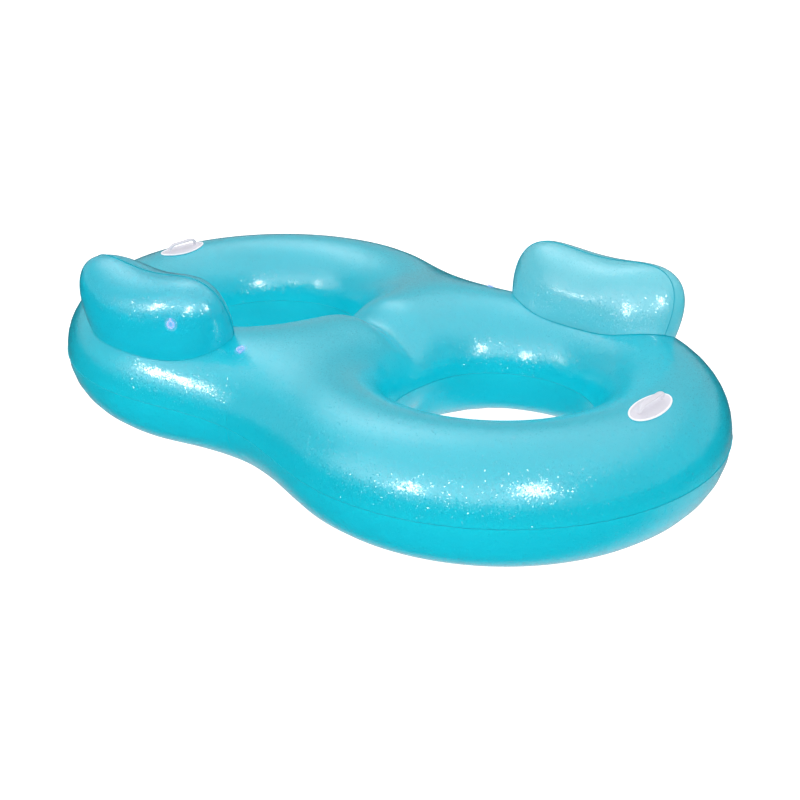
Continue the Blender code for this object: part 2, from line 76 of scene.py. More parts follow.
class Value:
    """A shader value that varies over a surface, for sums written as plain Python."""

    def __init__(self, socket):
        self.socket = socket

    def sum(self, operation, first, second=0.0):
        node = self.socket.node.id_data.nodes.new('ShaderNodeMath')
        node.operation = operation
        for place, value in enumerate((first, second)):
            if isinstance(value, Value):
                self.socket.node.id_data.links.new(value.socket, node.inputs[place])
            else:
                node.inputs[place].default_value = value
        return Value(node.outputs[0])

    def __add__(self, other):
        return self.sum('ADD', self, other)

    def __radd__(self, other):
        return self.sum('ADD', other, self)

    def __sub__(self, other):
        return self.sum('SUBTRACT', self, other)

    def __rsub__(self, other):
        return self.sum('SUBTRACT', other, self)

    def __mul__(self, other):
        return self.sum('MULTIPLY', self, other)

    def __rmul__(self, other):
        return self.sum('MULTIPLY', other, self)

    def __truediv__(self, other):
        return self.sum('DIVIDE', self, other)

    def __pow__(self, other):
        return self.sum('POWER', self, other)

    def __abs__(self):
        return self.sum('ABSOLUTE', self)

    def clamped(self):
        """Held between 0 and 1."""
        return self.sum('MAXIMUM', self.sum('MINIMUM', self, 1.0), 0.0)


class Finish:
    """A material or a world, and one way to add any node to it."""

    def __init__(self, owner, shader):
        self.owner = owner
        self.tree = owner.node_tree
        self.shader = self.tree.nodes[shader]

    def link(self, value, socket):
        if isinstance(value, Value):
            self.tree.links.new(value.socket, socket)
        else:
            socket.default_value = value

    def add(self, kind, settings, sockets, output=0):
        """Any node: its settings first, then its sockets' values or links; gives one output."""
        node = self.tree.nodes.new('ShaderNode' + kind)
        for setting, value in settings.items():
            setattr(node, setting, value)
        for socket, value in sockets.items():
            self.link(value, node.inputs[socket])
        return Value(node.outputs[output])

    def wear(self, socket, value):
        """Set or link one of the shader's own sockets."""
        self.link(value, self.shader.inputs[socket])


def finish(name, **constants):
    """A new material whose shader has these values all over."""
    material = bpy.data.materials.new(name)
    material.use_nodes = True
    made = Finish(material, "Principled BSDF")
    for socket, value in constants.items():
        made.wear(socket.replace("_", " "), value)
    return made


bpy.ops.object.select_all(action='DESELECT')
bpy.ops.mesh.primitive_plane_add(size=80.0, location=(0.0, 0.0, -0.0005))
floor = bpy.context.object
floor.name = "studio_floor"
paper = finish("studio_paper", Roughness=0.9, Base_Color=(0.3, 0.3, 0.3, 1.0),
               Emission_Color=(1.0, 1.0, 1.0, 1.0), Emission_Strength=0.95)
floor.data.materials.append(paper.owner)
floor.visible_glossy = False

# Light. The film mirrors a wide pale wall behind the camera, a dimmer ceiling with a round lantern, and
# three softboxes. Twelve even lamps without shadows stand for the light that wanders about inside the milky
# float, and two wide soft ones shade it from above and from the front.
WALL_AZIMUTH = math.radians(15.0)
WALL_HALF = math.radians(66.0)          # how far round it reaches to either side
WALL_FOOT = 0.12                        # where it starts, as the sine of its height over the horizon
WALL_LIGHT = 2.4
CEILING_FOOT = 0.45                     # sine of the height at which the wall starts to turn into ceiling
CEILING_LIGHT = 1.4
ROOM_LIGHT = 0.4                        # of all else over the floor
BEYOND_LIGHT = 0.6                      # of the floor on the far side
LANTERN_LIGHT = 1.3
LANTERN_AIM = towards(math.radians(-103.0), math.radians(54.0))
LANTERN_EDGE = 24.0                     # a higher power makes the lantern smaller
DIM_LIGHT = 0.02                        # under the horizon
LAMPS_MIDDLE = Vector((0.0, 0.0, 0.2))  # what the lamps stand round
SIDE_PLACE = Vector((-0.85, -1.69, 0.88))
SIDE_TARGET = Vector((-0.35, -0.4, 0.2))
SIDE_SPREAD = math.radians(40.0)
EVEN_LIGHT = 0.64                       # of each of the twelve even lamps
EVEN_RISE = 0.3                         # share by which those from above are brighter
EVEN_BLUR = math.radians(20.0)


def ramp(value, start, width):
    """0 below the start, then rising evenly to 1 over the width."""
    return ((value - start) / width).clamped()


def lamp(kind, name, place, aim):
    """A lamp that shines back along its aim."""
    bpy.ops.object.light_add(type=kind, location=place)
    made = bpy.context.object
    made.name = name
    made.rotation_mode = 'QUATERNION'
    made.rotation_quaternion = aim.to_track_quat('Z', 'Y')
    return made


def softbox(name, place, aim, width, tall, watts):
    """A rectangular lamp that the film mirrors."""
    made = lamp('AREA', name, place, aim)
    made.data.shape = 'RECTANGLE'
    made.data.size = width
    made.data.size_y = tall
    made.data.energy = watts
    return made


world = bpy.context.scene.world or bpy.data.worlds.new("studio")
bpy.context.scene.world = world
world.use_nodes = True
world.cycles_visibility.diffuse = False
studio = Finish(world, "Background")
way = studio.add('TexCoord', {}, {}, 'Generated')
x, y, z = [studio.add('SeparateXYZ', {}, {0: way}, output) for output in 'XYZ']
ahead = x * math.sin(WALL_AZIMUTH) - y * math.cos(WALL_AZIMUTH)
beside = x * math.cos(WALL_AZIMUTH) + y * math.sin(WALL_AZIMUTH)
round_wall = abs(ahead.sum('ARCTAN2', beside, ahead))
over_floor = ramp(z, -0.05, 0.10)
up_to_ceiling = ramp(z, CEILING_FOOT, 0.35)
over_foot = ramp(z, WALL_FOOT, 0.15)
on_wall = ramp(WALL_HALF - round_wall, 0.0, 0.35) * (1.0 - up_to_ceiling) * over_foot
beyond = ramp(ahead * -1.0, 0.2, 0.4) * ramp(z * -1.0, 0.3, 0.3)
from_wall = on_wall * (WALL_LIGHT - ROOM_LIGHT)
from_ceiling = up_to_ceiling * (CEILING_LIGHT - ROOM_LIGHT)
level = (from_wall + from_ceiling + ROOM_LIGHT) * over_floor + beyond * BEYOND_LIGHT
near_lantern = (x * LANTERN_AIM.x + y * LANTERN_AIM.y + z * LANTERN_AIM.z).clamped()
studio.wear('Strength', level + near_lantern ** LANTERN_EDGE * LANTERN_LIGHT + DIM_LIGHT)
studio.wear('Color', (1.0, 0.99, 1.0, 1.0))

for name, azimuth, height, distance, width, tall, watts in (
        ("softbox_right", 62.0, 24.0, 3.2, 0.5, 0.8, 20.0),
        ("softbox_left", 11.0, 17.0, 3.2, 0.5, 0.7, 18.0)):
    aim = towards(math.radians(azimuth), math.radians(height))
    softbox(name, LAMPS_MIDDLE + aim * distance, aim, width, tall, watts)
for name, azimuth, height, distance, size, watts in (
        ("fill_above", -150.0, 77.0, 4.0, 5.0, 140.0),
        ("fill_front", 44.0, 35.0, 3.6, 1.5, 6.0)):
    aim = towards(math.radians(azimuth), math.radians(height))
    fill = lamp('AREA', name, LAMPS_MIDDLE + aim * distance, aim)
    fill.data.size = size
    fill.data.energy = watts
    fill.visible_glossy = False
side = softbox("softbox_side", SIDE_PLACE, SIDE_PLACE - SIDE_TARGET, 0.13, 0.30, 0.25)
side.data.spread = SIDE_SPREAD

# The even lamps stand at the twelve corners of a regular solid, so that all sides get the same.
golden = (1 + math.sqrt(5)) / 2
for number in range(12):
    one, other = (1, -1)[number % 2], (golden, -golden)[number // 2 % 2]
    aim = Vector(((0.0, one, other), (one, other, 0.0), (other, 0.0, one))[number // 4]).normalized()
    even = lamp('SUN', f"even_{number + 1}", aim * 4.0, aim)
    even.data.energy = EVEN_LIGHT * (1.0 + EVEN_RISE * aim.z)
    even.data.angle = EVEN_BLUR
    even.data.use_shadow = False
    even.visible_glossy = False

# Tube. Two sheets of pearly turquoise vinyl, welded together along the outline and round both holes,
# and blown up; a wall inside draws in a groove over the bridge, and the outer weld gathers in puckers.
RING_RADIUS = 0.355        # from a ring's middle to the middle of its tube
TUBE_RADIUS = 0.135        # half the width and half the height of the inflated tube
BRIDGE_FILLET = 0.147      # how softly the two tubes run into each other over the bridge
WAIST_SPREAD = 0.65        # how much wider that blend grows towards the waist
GROOVE_DEPTH = 0.50        # share of the squared height lost in the groove
GROOVE_WIDTH = 0.046
FLOOR_BLEND = 0.004        # rounding between the tube and its flat underside
FILM = 0.0003
WELD_HALF = 0.00045        # from a weld's middle to the outer face of either film
TUBE_WELD = 0.0013         # width of the welded strip
WELD_HEIGHT = TUBE_RADIUS + WELD_HALF
TUBE_TOP = WELD_HEIGHT + WELD_HALF + TUBE_RADIUS
TUBE_COLUMNS = 800         # faces round one ring
TOP_ROWS = 24              # steps across the top sheet
BOTTOM_ROWS = 16
PUCKER_LENGTH = 0.012      # size of the puckers along the outer weld
PUCKER_DEPTH = 0.0009
PUCKER_REACH = 0.020       # how far a pucker runs in from the weld
PUCKER_PATCHES = 9.0       # a metre, where the puckers come deeper
GLITTER = 0.0021           # size of a flake
GLITTER_TILT = 0.6         # how far the steepest flakes lean
FILM_TILT = 0.035          # and all of the film
GLOSS_DRIFT = 0.2          # how far the roughness of plain vinyl varies


def merged(first, second, blend):
    """The larger of two values, rounded where they are closer than the blend."""
    overlap = max(0.0, 1.0 - abs(first - second) / blend)
    return max(first, second) + blend * overlap ** 3 / 6


def tube_swell(x, y):
    """Square of the film's height over the weld plane; it is negative outside the welds."""
    sides = [TUBE_RADIUS ** 2 - (math.hypot(x - centre, y) - RING_RADIUS) ** 2
             for centre in (-RING_RADIUS, RING_RADIUS)]
    swell = merged(sides[0], sides[1], BRIDGE_FILLET ** 2 + WAIST_SPREAD * y * y)
    if abs(x) < RING_RADIUS:
        swell *= 1.0 - GROOVE_DEPTH * math.exp(-(y / GROOVE_WIDTH) ** 2)
    return swell


def film_height(x, y, side):
    """Height of the tube's outer face, on top (side 1) or underneath (side -1)."""
    rise = math.sqrt(max(tube_swell(x, y), 0.0))
    if side < 0:
        rise = -merged(-rise, -TUBE_RADIUS, FLOOR_BLEND)
    return WELD_HEIGHT + side * (WELD_HALF + rise)


def halve(low, high, inside):
    """The place between low, where inside() holds, and high, where it doesn't."""
    for _ in range(36):
        middle = (low + high) / 2
        if inside(middle):
            low = middle
        else:
            high = middle
    return low


def outward(x, y):
    """Unit direction in plan in which the tube's height falls."""
    step = 1e-5
    return Vector((tube_swell(x - step, y) - tube_swell(x + step, y),
                   tube_swell(x, y - step) - tube_swell(x, y + step), 0.0)).normalized()


def pucker(x, y, layer):
    """Ripple of the outer weld next to a place in plan, between -1 and 1."""
    angle = round(math.atan2(abs(y), RING_RADIUS - abs(x)), 4)
    outer = ring_edge(angle)[1]
    place = Vector((math.copysign(RING_RADIUS - outer * math.cos(angle), x),
                    math.copysign(outer * math.sin(angle), y), layer))
    strength = min(1.0, max(0.15, 0.6 + 1.6 * noise.noise(place * PUCKER_PATCHES)))
    return strength * (noise.noise(place / PUCKER_LENGTH) + 0.5 * noise.noise(place / (3 * PUCKER_LENGTH)))


WAIST = halve(0.0, 2 * RING_RADIUS, lambda y: tube_swell(0.0, y) > 0)
WAIST_ANGLE = math.atan2(WAIST, RING_RADIUS)
ring_edges = {}


def ring_edge(angle):
    """Distance from the -X ring's middle to its hole and to its outline, or to the float's middle."""
    key = round(angle, 6)
    if key not in ring_edges:
        along, across = math.cos(angle), math.sin(angle)
        inner = halve(RING_RADIUS, 0.0, lambda r: tube_swell(r * along - RING_RADIUS, r * across) > 0)
        if angle < WAIST_ANGLE + 1e-6:
            outer = RING_RADIUS / along
        else:
            outer = halve(RING_RADIUS, 2 * RING_RADIUS, lambda r: r * along < RING_RADIUS
                          and tube_swell(r * along - RING_RADIUS, r * across) > 0)
        ring_edges[key] = inner, outer
    return ring_edges[key]


def select_edges(piece, wanted):
    """In edit mode, select the edges for which wanted() holds."""
    bpy.ops.mesh.select_mode(type='EDGE')
    bpy.ops.mesh.select_all(action='DESELECT')
    mesh = bmesh.from_edit_mesh(piece.data)
    for edge in mesh.edges:
        if wanted(edge):
            edge.select_set(True)
    bmesh.update_edit_mesh(piece.data)


def apply_all(piece):
    for modifier in list(piece.modifiers):
        bpy.ops.object.modifier_apply(modifier=modifier.name)


def settle(piece):
    """Put the object at the origin, with its place in its mesh."""
    bpy.ops.object.select_all(action='DESELECT')
    piece.select_set(True)
    bpy.context.view_layer.objects.active = piece
    bpy.ops.object.transform_apply(location=True, rotation=True, scale=True)


def sharpen(piece):
    """Part the shading where a weld's strip meets the film."""
    bpy.ops.object.mode_set(mode='EDIT')
    select_edges(piece, lambda edge: len({face.material_index for face in edge.link_faces}) > 1)
    bpy.ops.mesh.mark_sharp()
    bpy.ops.object.mode_set(mode='OBJECT')


def tube_sheet(name, side, rows):
    """One of the two sheets: a quarter of a ring, cut from a torus, stretched to its outline and mirrored."""
    bpy.ops.object.select_all(action='DESELECT')
    bpy.ops.mesh.primitive_torus_add(location=(-RING_RADIUS, 0.0, WELD_HEIGHT), major_radius=RING_RADIUS,
                                     minor_radius=TUBE_RADIUS, major_segments=TUBE_COLUMNS // 4,
                                     minor_segments=rows // 2)
    sheet = bpy.context.object
    sheet.name = name
    settle(sheet)
    bpy.ops.object.mode_set(mode='EDIT')
    bpy.ops.mesh.select_all(action='SELECT')
    bpy.ops.mesh.subdivide(number_cuts=3)
    for normal in ((0.0, 0.0, side), (0.0, 1.0, 0.0)):
        bpy.ops.mesh.select_all(action='SELECT')
        bpy.ops.mesh.bisect(plane_co=(0.0, 0.0, WELD_HEIGHT), plane_no=normal, clear_inner=True,
                            threshold=1e-5)
    bpy.ops.object.mode_set(mode='OBJECT')

    step = 2 * math.pi / TUBE_COLUMNS
    bridge = round(WAIST_ANGLE / step) * step
    weld = set()
    for vert in sheet.data.vertices:
        x, y, z = vert.co
        ring = math.hypot(x + RING_RADIUS, y)
        angle = math.atan2(max(y, 0.0), x + RING_RADIUS)
        if angle < bridge:
            angle *= WAIST_ANGLE / bridge
        else:
            angle = WAIST_ANGLE + (angle - bridge) * (math.pi - WAIST_ANGLE) / (math.pi - bridge)
        inner, outer = ring_edge(angle)
        section = math.atan2(max(side * (z - WELD_HEIGHT), 0.0), ring - RING_RADIUS)
        radius = inner + (outer - inner) * (1 + math.cos(section)) / 2
        on_bridge = section < 1e-4 and angle < WAIST_ANGLE + 1e-5
        x = 0.0 if on_bridge else radius * math.cos(angle) - RING_RADIUS
        y = radius * math.sin(angle)
        y = 0.0 if abs(y) < 1e-6 else y
        if section < 1e-4 and angle > WAIST_ANGLE - 1e-5 or section > math.pi - 1e-4:
            weld.add(vert.index)
            vert.co = (x, y, WELD_HEIGHT + side * WELD_HALF)
        else:
            vert.co = (x, y, film_height(x, y, side))

    bpy.ops.object.mode_set(mode='EDIT')
    select_edges(sheet, lambda edge: edge.is_boundary and all(v.index in weld for v in edge.verts)
                 and not all(abs(v.co.y) < 1e-6 for v in edge.verts))
    bpy.ops.mesh.extrude_edges_move()
    mesh = bmesh.from_edit_mesh(sheet.data)
    for vert in mesh.verts:
        if vert.select:
            vert.co += outward(vert.co.x, vert.co.y) * TUBE_WELD
            if abs(vert.co.y) < 1e-5:
                vert.co.y = 0.0
    bmesh.update_edit_mesh(sheet.data)
    bpy.ops.object.mode_set(mode='OBJECT')

    mirror = sheet.modifiers.new("Quarters", 'MIRROR')
    mirror.use_axis = (True, True, False)
    mirror.merge_threshold = 0.00002
    apply_all(sheet)
    bpy.ops.object.mode_set(mode='EDIT')
    bpy.ops.mesh.select_all(action='SELECT')
    bpy.ops.mesh.normals_make_consistent(inside=False)
    bpy.ops.object.mode_set(mode='OBJECT')
    up = sum(face.normal.z * face.area for face in sheet.data.polygons)
    if up * side < 0:
        sheet.data.flip_normals()

    for vert in sheet.data.vertices:
        x, y, z = vert.co
        depth = math.sqrt(max(tube_swell(x, y), 0.0))
        if math.hypot(abs(x) - RING_RADIUS, y) < RING_RADIUS or depth > 0.1:
            continue
        share = math.exp(-TUBE_RADIUS * math.asin(depth / TUBE_RADIUS) / PUCKER_REACH)
        vert.co += outward(x, y) * pucker(x, y, 2.7) * PUCKER_DEPTH * share
        vert.co.z += pucker(x, y, 0.0) * PUCKER_DEPTH * share
    sheet.data.materials.append(vinyl)
    sheet.data.materials.append(weld_vinyl)
    for face in sheet.data.polygons:
        if tube_swell(face.center.x, face.center.y) < 0.0:
            face.material_index = 1
    sharpen(sheet)
    wall = sheet.modifiers.new("Wall", 'SOLIDIFY')
    wall.thickness = FILM
    wall.offset = -1.0
    apply_all(sheet)
    sheet.data.shade_smooth()
    return sheet


def clouds(film, place, scale, detail, colour, share):
    """Let the base colour drift by a share either way, in soft clouds; gives the clouds."""
    cloud = film.add('TexNoise', {}, {'Vector': place, 'Scale': scale, 'Detail': detail}, 'Fac')
    shades = [(*(c * level for c in colour), 1.0) for level in (1.0 - share, 1.0 + share)]
    mixed = film.add('Mix', {'data_type': 'RGBA'}, {'Factor': cloud, 6: shades[0], 7: shades[1]}, 2)
    film.wear('Base Color', mixed)
    return cloud


def pearl_vinyl(name, colour):
    """Pearly vinyl film: a deep colour under a gloss that is broken up by fine glitter."""
    film = finish(name, IOR=1.7, Coat_Weight=0.3, Coat_Roughness=0.3, Coat_IOR=1.5, Roughness=0.13,
                  Subsurface_Weight=0.7, Subsurface_Scale=0.002, Subsurface_Radius=(1.0, 1.0, 1.0))
    place = film.add('TexCoord', {}, {}, 'Object')
    clouds(film, place, 5.0, 2.0, colour, 0.05)
    flakes = {'Vector': place, 'Scale': 1 / GLITTER}
    lean = film.add('VectorMath', {'operation': 'SUBTRACT'},
                    {0: film.add('TexVoronoi', {}, flakes, 'Color'), 1: (0.5, 0.5, 0.5)})
    middle = film.add('TexVoronoi', {}, flakes, 'Position')
    chance = film.add('TexWhiteNoise', {}, {'Vector': middle}, 'Value')
    tilt = film.add('VectorMath', {'operation': 'SCALE'},
                    {0: lean, 'Scale': chance ** 4.0 * GLITTER_TILT + FILM_TILT})
    surface = film.add('NewGeometry', {}, {}, 'Normal')
    leaning = film.add('VectorMath', {'operation': 'ADD'}, {0: surface, 1: tilt})
    film.wear('Normal', film.add('VectorMath', {'operation': 'NORMALIZE'}, {0: leaning}))
    return film.owner


def plain_vinyl(name, colour, gloss, scale, **constants):
    """Smooth vinyl without glitter, whose colour and gloss drift a little."""
    plain = finish(name, **constants)
    place = plain.add('TexCoord', {}, {}, 'Object')
    cloud = clouds(plain, place, scale, 3.0, colour, 0.12)
    plain.wear('Roughness', cloud * GLOSS_DRIFT + (gloss - GLOSS_DRIFT / 2))
    return plain.owner


vinyl = pearl_vinyl("pearl_vinyl", (0.0008, 0.30, 0.385))
weld_vinyl = plain_vinyl("weld_vinyl", (0.001, 0.27, 0.35), 0.4, 25.0, IOR=1.35)
tube_top = tube_sheet("tube_top_skin", 1, TOP_ROWS)
tube_bottom = tube_sheet("tube_bottom_skin", -1, BOTTOM_ROWS)
for sheet, node in ((tube_top, "float_top_sheet"), (tube_bottom, "float_bottom_sheet")):
    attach(sheet, "float")
    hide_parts(node)

# Backrests. Each is a pillow of two vinyl sheets, welded along its top and ends and welded down onto
# the tube, with its own air.
RIGHT_BACKREST_ANGLE = math.radians(92.1)      # where its middle stands round its ring
LEFT_BACKREST_ANGLE = math.radians(96.1)
BACKREST_RADIUS = RING_RADIUS + 0.017          # from the ring's middle to the pillow's
BACKREST_LENGTH = 0.412
BACKREST_THICKNESS = 0.190
BACKREST_TAPER = 0.22                          # share of the thickness lost towards the ends
BACKREST_MIDDLE = TUBE_TOP + 0.009             # height of its thickest place
BACKREST_RISE = 0.130                          # from there to its weld, near the ends
BACKREST_SAG = 0.021                           # how much lower the weld runs in the middle
BACKREST_FOOT = TUBE_TOP - 0.051               # the height from which it leans
BACKREST_LEAN = 0.030                          # outwards for each metre up
BACKREST_SPREAD = 0.2886                       # how much more the ends lean
BACKREST_CORNER = 5.0                          # a higher power makes the ends squarer
BACKREST_CROWN = 2.2                           # and this one the top
BACKREST_WELD = 0.0016                         # width of the welded strip
BACKREST_SEAT = 0.0009                         # clear space under it
PILLOW_COLUMNS = 160                           # along the weld
PILLOW_ROWS = 48                               # up each face
PILLOW_FLOOR = 18                              # across the underside


def pillow_place(middle, along, offset, height):
    """A point given along the pillow, off its middle and by height; middle is the angle of its own middle."""
    spread = BACKREST_SPREAD * (2 * along / BACKREST_LENGTH) ** 2
    lean = (BACKREST_LEAN + spread) * max(height - BACKREST_FOOT, 0.0)
    angle = middle + along / BACKREST_RADIUS
    radius = BACKREST_RADIUS + lean + offset
    return Vector((RING_RADIUS + radius * math.cos(angle), radius * math.sin(angle), height))


def pillow_rise(along):
    return BACKREST_RISE - BACKREST_SAG * math.cos(math.pi * along / BACKREST_LENGTH) ** 2


def pillow_fill(along, height):
    """1 in the pillow's middle, 0 on its weld."""
    return (1.0 - abs(2 * along / BACKREST_LENGTH) ** BACKREST_CORNER
            - abs((height - BACKREST_MIDDLE) / pillow_rise(along)) ** BACKREST_CROWN)


def pillow_offset(along, height, side):
    """How far the rear (side 1) or front (side -1) face lies off the pillow's middle."""
    taper = 1.0 - BACKREST_TAPER * (2 * along / BACKREST_LENGTH) ** 2
    fullness = taper * math.sqrt(max(pillow_fill(along, height), 0.0))
    return side * (WELD_HALF + BACKREST_THICKNESS / 2 * fullness)


def on_tube(middle, along, offset, height):
    """A point of the pillow, moved up or down to where its film lies on the tube."""
    place = pillow_place(middle, along, offset, height)
    place.z = film_height(place.x, place.y, 1) + BACKREST_SEAT + FILM
    return place


def pillow_weld(middle):
    """The weld line over the pillow as points of length and height, from one foot to the other."""
    half = BACKREST_LENGTH / 2

    def height(along, way):
        room = max(0.0, 1.0 - abs(along / half) ** BACKREST_CORNER)
        return BACKREST_MIDDLE + way * pillow_rise(along) * room ** (1 / BACKREST_CROWN)

    foot = halve(half, half / 2, lambda s: height(s, -1) > on_tube(middle, s, 0.0, height(s, -1)).z)
    rising = [Vector((foot + (half - foot) * step / 60, 0.0)) for step in range(60)]
    for point in rising:
        point.y = height(point.x, -1)
    over = [half * math.cos(math.pi * step / 1600) for step in range(1601)]
    line = rising + [Vector((along, height(along, 1))) for along in over]
    line += [Vector((-point.x, point.y)) for point in reversed(rising)]
    lengths = [0.0]
    for a, b in zip(line, line[1:]):
        lengths.append(lengths[-1] + (b - a).length)
    spaced = []
    place = 0
    for step in range(PILLOW_COLUMNS + 1):
        target = lengths[-1] * step / PILLOW_COLUMNS
        while place < len(line) - 2 and lengths[place + 1] < target:
            place += 1
        share = (target - lengths[place]) / (lengths[place + 1] - lengths[place])
        spaced.append(line[place].lerp(line[place + 1], share))
    return spaced


def pillow_column(middle, step, top, foot, side):
    """Points up one face of the pillow, from its lip on the tube to the edge of its weld."""
    along = foot * math.cos(math.pi * step / PILLOW_COLUMNS)

    def floats(height):
        return height > on_tube(middle, along, pillow_offset(along, height, side), height).z

    at_end = step in (0, PILLOW_COLUMNS)
    low = top.y if at_end else halve(BACKREST_MIDDLE, BACKREST_MIDDLE - pillow_rise(along), floats)
    base = Vector((along, low))
    base_offset = pillow_offset(along, low, side)
    points = [on_tube(middle, along, base_offset + side * TUBE_WELD, low),
              pillow_place(middle, along, base_offset, low)]
    for row in range(1, PILLOW_ROWS + 1):
        place = base.lerp(top, math.sin(math.pi / 2 * row / PILLOW_ROWS))
        offset = side * WELD_HALF if row == PILLOW_ROWS else pillow_offset(place.x, place.y, side)
        points.append(pillow_place(middle, place.x, offset, place.y))
    edge = Vector((pillow_fill(top.x - 1e-5, top.y) - pillow_fill(top.x + 1e-5, top.y),
                   pillow_fill(top.x, top.y - 1e-5) - pillow_fill(top.x, top.y + 1e-5))).normalized()
    rim = top + edge * BACKREST_WELD
    rim_height = max(rim.y, on_tube(middle, rim.x, side * WELD_HALF, rim.y).z)
    points.append(pillow_place(middle, rim.x, side * WELD_HALF, rim_height))
    return points


def backrest(name, middle, film):
    """A pillow folded over from one sheet of faces, closed underneath along the tube."""
    weld = pillow_weld(middle)
    foot = weld[0].x
    rows = 2 * (PILLOW_ROWS + 3)
    bpy.ops.object.select_all(action='DESELECT')
    bpy.ops.mesh.primitive_grid_add(x_subdivisions=PILLOW_COLUMNS, y_subdivisions=rows - 1, size=1.0,
                                    location=(RING_RADIUS, BACKREST_RADIUS, BACKREST_MIDDLE))
    pillow = bpy.context.object
    pillow.name = name
    columns = []
    for step, top in enumerate(weld):
        front = pillow_column(middle, step, top, foot, -1)
        rear = pillow_column(middle, step, top, foot, 1)
        columns.append(front + rear[::-1])
    low = min(v.co.x for v in pillow.data.vertices)
    for vert in pillow.data.vertices:
        column = round((vert.co.x - low) * PILLOW_COLUMNS)
        row = round((vert.co.y + 0.5) * (rows - 1))
        vert.co = columns[column][row]
    pillow.data.materials.append(film)
    pillow.data.materials.append(weld_vinyl)
    for face in pillow.data.polygons:
        if face.index // PILLOW_COLUMNS in (0, rows // 2 - 2, rows // 2 - 1, rows // 2, rows - 2):
            face.material_index = 1
    pillow.location = (0.0, 0.0, 0.0)
    bpy.ops.object.mode_set(mode='EDIT')
    ends = [[c[row] for c in columns] for row in (0, rows - 1)]
    lip_places = {tuple(round(v, 6) for v in p) for chain in ends for p in chain}
    select_edges(pillow, lambda edge: edge.is_boundary and all(
        tuple(round(v, 6) for v in vert.co) in lip_places for vert in edge.verts))
    bpy.ops.mesh.bridge_edge_loops(number_cuts=PILLOW_FLOOR, interpolation='LINEAR')
    bpy.ops.mesh.select_all(action='SELECT')
    bpy.ops.mesh.remove_doubles(threshold=2e-5)
    bpy.ops.mesh.dissolve_degenerate(threshold=1e-7)
    bpy.ops.mesh.fill_holes(sides=0)
    bpy.ops.mesh.normals_make_consistent(inside=False)
    bpy.ops.object.mode_set(mode='OBJECT')
    for vert in pillow.data.vertices:
        surface = film_height(vert.co.x, vert.co.y, 1) + BACKREST_SEAT
        if vert.co.z < surface:
            vert.co.z = surface
    sharpen(pillow)
    wall = pillow.modifiers.new("Wall", 'SOLIDIFY')
    wall.thickness = FILM
    wall.offset = -1.0
    apply_all(pillow)
    pillow.data.shade_smooth()
    return pillow


# The backrests are the tube's own film, but the right one's colour is painted paler (a painted sheen) and the
# left one's a little darker (painted shade), for how the light falls on each.
right_pale_sheen_vinyl = pearl_vinyl("right_backrest_painted_sheen_vinyl", (0.045, 0.355, 0.43))
left_shaded_vinyl = pearl_vinyl("left_backrest_painted_shade_vinyl", (0.0008, 0.28, 0.37))
right_backrest = backrest("right_backrest", RIGHT_BACKREST_ANGLE, right_pale_sheen_vinyl)
left_backrest = backrest("left_backrest", LEFT_BACKREST_ANGLE, left_shaded_vinyl)
left_backrest.data.transform(Matrix.Rotation(math.pi, 4, 'Z'))
for pillow, seat in ((right_backrest, "right"), (left_backrest, "left")):
    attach(pillow, "float")
    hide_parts(seat + "_backrest_front", seat + "_backrest_rear")

# Handles. A plate of white moulded vinyl, oval with a beaded rim, is welded on each outer end of the tube
# and follows its bend. A flat grip stands on it on two round feet, and leans to either side about them.
RIGHT_HANDLE_SHIFT = 0.0245     # how far outside the tube's middle line it sits
LEFT_HANDLE_SHIFT = -0.0096
HANDLE_TURN = math.radians(3.5)   # round Z
HANDLE_SEAT = 0.0003            # clear space under a pad, and between pad and grip
PAD_LENGTH = 0.136
PAD_WIDTH = 0.054
PAD_THICKNESS = 0.0022          # under the grip's feet
PAD_WEB = 0.0014                # between them
PAD_BEAD = 0.0017               # radius of the rim
PAD_BEAD_TURN = math.radians(138)   # how far the rim's section runs over before it falls to the web
PAD_SLOPE = 0.0030              # width of that fall
PAD_UNDER = 0.0004              # between rows of the underside
PAD_BOSS = 0.010                # radius of the raised round under a foot
PAD_STEPS = 144                 # round its edge
PAD_RINGS = 64                  # from its underside's middle to its top's
GRIP_SPAN = 0.084               # between the middles of its two feet
GRIP_RISE = 0.0125              # from the feet's line to the middle of the bar
GRIP_FOOT = 0.0042              # radius of a foot
GRIP_BEND = 0.018               # how far in along the pad each leg arches
GRIP_WIDTH = 0.0118             # of the bar, in its middle
GRIP_THICKNESS = 0.0062
GRIP_STEPS = 32                 # round the bar


def tube_frame(x, y, across):
    """A frame on top of the tube: Z out of the film and X along it, towards across."""
    step = 1e-5
    slope = Vector((film_height(x - step, y, 1) - film_height(x + step, y, 1),
                    film_height(x, y - step, 1) - film_height(x, y + step, 1), 2 * step))
    out = slope.normalized()
    side = (across - out * across.dot(out)).normalized()
    turned = Matrix((side, out.cross(side), out)).transposed().to_4x4()
    return Matrix.Translation((x, y, film_height(x, y, 1))) @ turned


def handle_frame(shift):
    across = Vector((math.cos(HANDLE_TURN), math.sin(HANDLE_TURN), 0.0))
    return tube_frame(2 * RING_RADIUS + shift, 0.0, across)


def pad_section(row, rows):
    """How far in from the pad's edge, and how high over its underside, a row of its faces lies."""
    bead_rows = rows // 3
    if row < 0:
        turn = min(-row / (rows // 8), 1.0) * math.pi / 2
        flat_rows = max(0, min(-row, rows // 3 + rows // 4) - rows // 8)
        return PAD_BEAD * (1 - math.cos(turn)) + flat_rows * PAD_UNDER, PAD_BEAD * (1 - math.sin(turn))
    turn = min(row / bead_rows, 1.0) * PAD_BEAD_TURN
    inset = PAD_BEAD * (1 - math.cos(turn))
    height = PAD_BEAD * (1 + math.sin(turn))
    if row > bead_rows:
        share = (row - bead_rows) / (rows // 4)
        inset += PAD_SLOPE * min(share, 1.0)
        fall = 0.5 + 0.5 * math.cos(math.pi * min(share, 1.0))
        height = PAD_WEB + (height - PAD_WEB) * fall
    return inset, height


